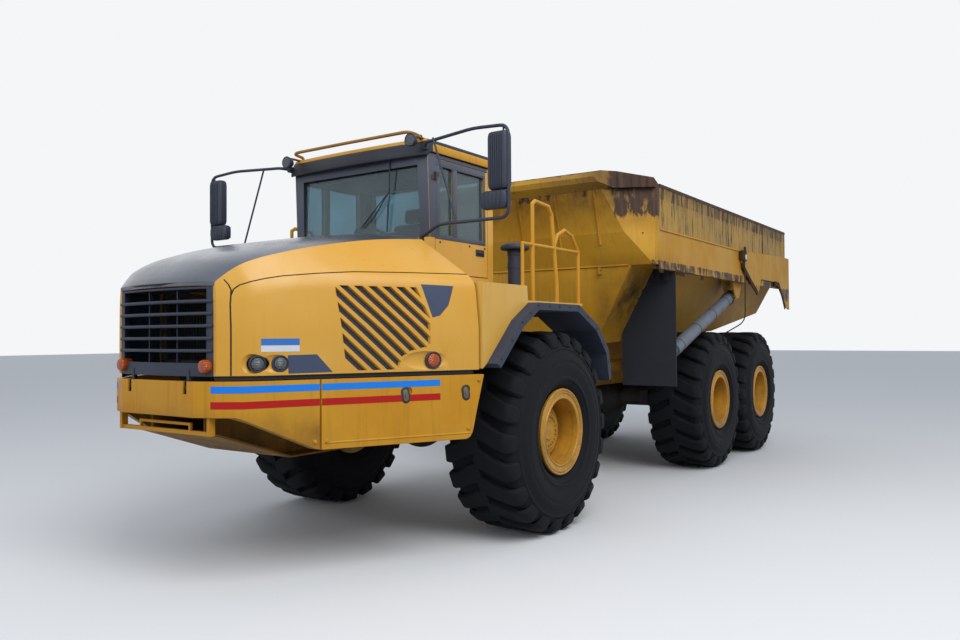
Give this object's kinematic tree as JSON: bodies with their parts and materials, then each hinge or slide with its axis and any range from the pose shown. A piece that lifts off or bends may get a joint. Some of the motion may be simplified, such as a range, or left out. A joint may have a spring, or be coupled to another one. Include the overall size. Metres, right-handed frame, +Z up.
{
  "type": "six-wheel articulated dump truck",
  "caption": "Articulated dump truck with a tilting hood, offset steering hinge, two-axle rear frame, hoist cylinders and a tipping body with a lifting tailgate.",
  "frame": {"origin": "on the ground, under the middle of the truck's length and width", "axes": "+X forward to the bumper, +Y to the left, +Z up"},
  "size_m": [11.263, 3.7512, 3.75],
  "materials": {
    "yellow_paint": "satin",
    "worn_yellow_paint": "matte",
    "black_paint": "satin",
    "dark_cast_iron": "matte",
    "bright_steel": "polished",
    "black_plastic": "matte",
    "black_rubber": "matte",
    "tyre_rubber": "matte",
    "seat_fabric": "matte",
    "lamp_glass": "gloss",
    "window_glass": "gloss"
  },
  "bodies": {
    "tractor": {"front_frame": "worn_yellow_paint", "tow_plate": "worn_yellow_paint", "outriggers": "worn_yellow_paint", "engine_block": "dark_cast_iron", "front_axle": "dark_cast_iron", "front_bumper": "yellow_paint", "front_step": "yellow_paint", "lower_panels": "yellow_paint", "fenders": "yellow_paint", "wheel_arches": "black_rubber", "handrails": "yellow_paint", "cab_shell": "yellow_paint", "cab_roof": "black_paint", "cab_glass": "window_glass", "seat": "seat_fabric", "dashboard": "black_plastic", "mirrors": "black_plastic", "roof_lights": "black_plastic", "intake_cap": "black_plastic"},
    "cab_door": {"door": "yellow_paint", "door_glass": "window_glass"},
    "hood": {"hood_top": "black_paint", "hood_sides": "yellow_paint", "louvre_screens": "black_plastic", "grille": "black_plastic", "headlamps": "lamp_glass"},
    "hinge_link": {"hitch_link": "worn_yellow_paint"},
    "rear_unit": {"rear_frame": "worn_yellow_paint", "tow_jaw": "worn_yellow_paint", "hoist_tubes": "worn_yellow_paint", "mid_axle": "dark_cast_iron", "rear_axle": "dark_cast_iron", "bogie_beams": "dark_cast_iron"},
    "tipping_body": {"dump_body": "yellow_paint", "spill_guard": "worn_yellow_paint", "side_boards": "worn_yellow_paint", "mud_flaps": "black_rubber"},
    "gate": {"tailgate": "worn_yellow_paint"},
    "hoist_barrel_pair": {"hoist_barrels": "dark_cast_iron"},
    "hoist_rod_pair": {"hoist_rods": "bright_steel"},
    "steer_barrel_l": {"steer_barrel_left": "dark_cast_iron"},
    "steer_barrel_r": {"steer_barrel_right": "dark_cast_iron"},
    "steer_rod_l": {"steer_rod_left": "bright_steel"},
    "steer_rod_r": {"steer_rod_right": "bright_steel"},
    "wheel_front_left": {"tyre_front_left": "tyre_rubber", "rim_front_left": "yellow_paint"},
    "wheel_front_right": {"tyre_front_right": "tyre_rubber", "rim_front_right": "yellow_paint"},
    "wheel_mid_left": {"tyre_mid_left": "tyre_rubber", "rim_mid_left": "yellow_paint"},
    "wheel_mid_right": {"tyre_mid_right": "tyre_rubber", "rim_mid_right": "yellow_paint"},
    "wheel_rear_left": {"tyre_rear_left": "tyre_rubber", "rim_rear_left": "yellow_paint"},
    "wheel_rear_right": {"tyre_rear_right": "tyre_rubber", "rim_rear_right": "yellow_paint"}
  },
  "joints": [
    {"name": "steer", "type": "hinge", "parent": "tractor", "child": "hinge_link", "pos_m": [1.2545, 0, 1.125], "axis": [0, 0, 1], "range_deg": [-45, 45]},
    {"name": "roll", "type": "hinge", "parent": "hinge_link", "child": "rear_unit", "pos_m": [0.6305, 0, 1.125], "axis": [1, 0, 0], "range_deg": [-10, 10]},
    {"name": "tip", "type": "hinge", "parent": "rear_unit", "child": "tipping_body", "pos_m": [-4.5175, 0, 1.55], "axis": [0, -1, 0], "range_deg": [0, 70]},
    {"name": "gate_lift", "type": "hinge", "parent": "tipping_body", "child": "gate", "pos_m": [-3.0095, 0, 2.98], "axis": [0, 1, 0], "range_deg": [0, 35]},
    {"name": "hood_tilt", "type": "hinge", "parent": "tractor", "child": "hood", "pos_m": [5.5905, 0, 1.47], "axis": [0, 1, 0], "range_deg": [0, 65]},
    {"name": "door_swing", "type": "hinge", "parent": "tractor", "child": "cab_door", "pos_m": [3.3845, 0.866, 2.9], "axis": [0, 0, -1], "range_deg": [0, 50]},
    {"name": "spin_front_left", "type": "hinge", "parent": "tractor", "child": "wheel_front_left", "pos_m": [2.5305, 1.318, 0.935], "axis": [0, 1, 0], "continuous": true},
    {"name": "spin_front_right", "type": "hinge", "parent": "tractor", "child": "wheel_front_right", "pos_m": [2.5305, -1.318, 0.935], "axis": [0, 1, 0], "continuous": true},
    {"name": "spin_mid_left", "type": "hinge", "parent": "rear_unit", "child": "wheel_mid_left", "pos_m": [-1.9875, 1.318, 0.935], "axis": [0, 1, 0], "continuous": true},
    {"name": "spin_mid_right", "type": "hinge", "parent": "rear_unit", "child": "wheel_mid_right", "pos_m": [-1.9875, -1.318, 0.935], "axis": [0, 1, 0], "continuous": true},
    {"name": "spin_rear_left", "type": "hinge", "parent": "rear_unit", "child": "wheel_rear_left", "pos_m": [-3.9275, 1.318, 0.935], "axis": [0, 1, 0], "continuous": true},
    {"name": "spin_rear_right", "type": "hinge", "parent": "rear_unit", "child": "wheel_rear_right", "pos_m": [-3.9275, -1.318, 0.935], "axis": [0, 1, 0], "continuous": true},
    {"name": "steer_swing_l", "type": "hinge", "parent": "tractor", "child": "steer_barrel_l", "pos_m": [2.1635, 0.525, 1.125], "axis": [0, 0, 1], "range_deg": [-12, 12]},
    {"name": "steer_extend_l", "type": "slide", "parent": "steer_barrel_l", "child": "steer_rod_l", "axis": [-0.9934, -0.1147, 0], "range_m": [-0.36, 0.36]},
    {"name": "steer_swing_r", "type": "hinge", "parent": "tractor", "child": "steer_barrel_r", "pos_m": [2.1635, -0.525, 1.125], "axis": [0, 0, 1], "range_deg": [-12, 12]},
    {"name": "steer_extend_r", "type": "slide", "parent": "steer_barrel_r", "child": "steer_rod_r", "axis": [-0.9934, 0.1147, 0], "range_m": [-0.36, 0.36]},
    {"name": "hoist_swing", "type": "hinge", "parent": "rear_unit", "child": "hoist_barrel_pair", "pos_m": [-0.5195, 0, 1.6], "axis": [0, -1, 0], "range_deg": [-12, 12]},
    {"name": "hoist_extend", "type": "slide", "parent": "hoist_barrel_pair", "child": "hoist_rod_pair", "axis": [-0.9491, 0, 0.3151], "range_m": [0, 2.4]}
  ],
  "couplings": [
    {"joint": "gate_lift", "follows": "tip", "ratio": 0.5},
    {"joint": "steer_swing_l", "follows": "steer", "ratio": 0.19},
    {"joint": "steer_swing_r", "follows": "steer", "ratio": 0.19},
    {"joint": "steer_extend_l", "follows": "steer", "m_per_rad": 0.396},
    {"joint": "steer_extend_r", "follows": "steer", "m_per_rad": -0.396},
    {"joint": "hoist_swing", "follows": "tip", "ratio": -0.08},
    {"joint": "hoist_extend", "follows": "tip", "m_per_rad": 1.57}
  ]
}
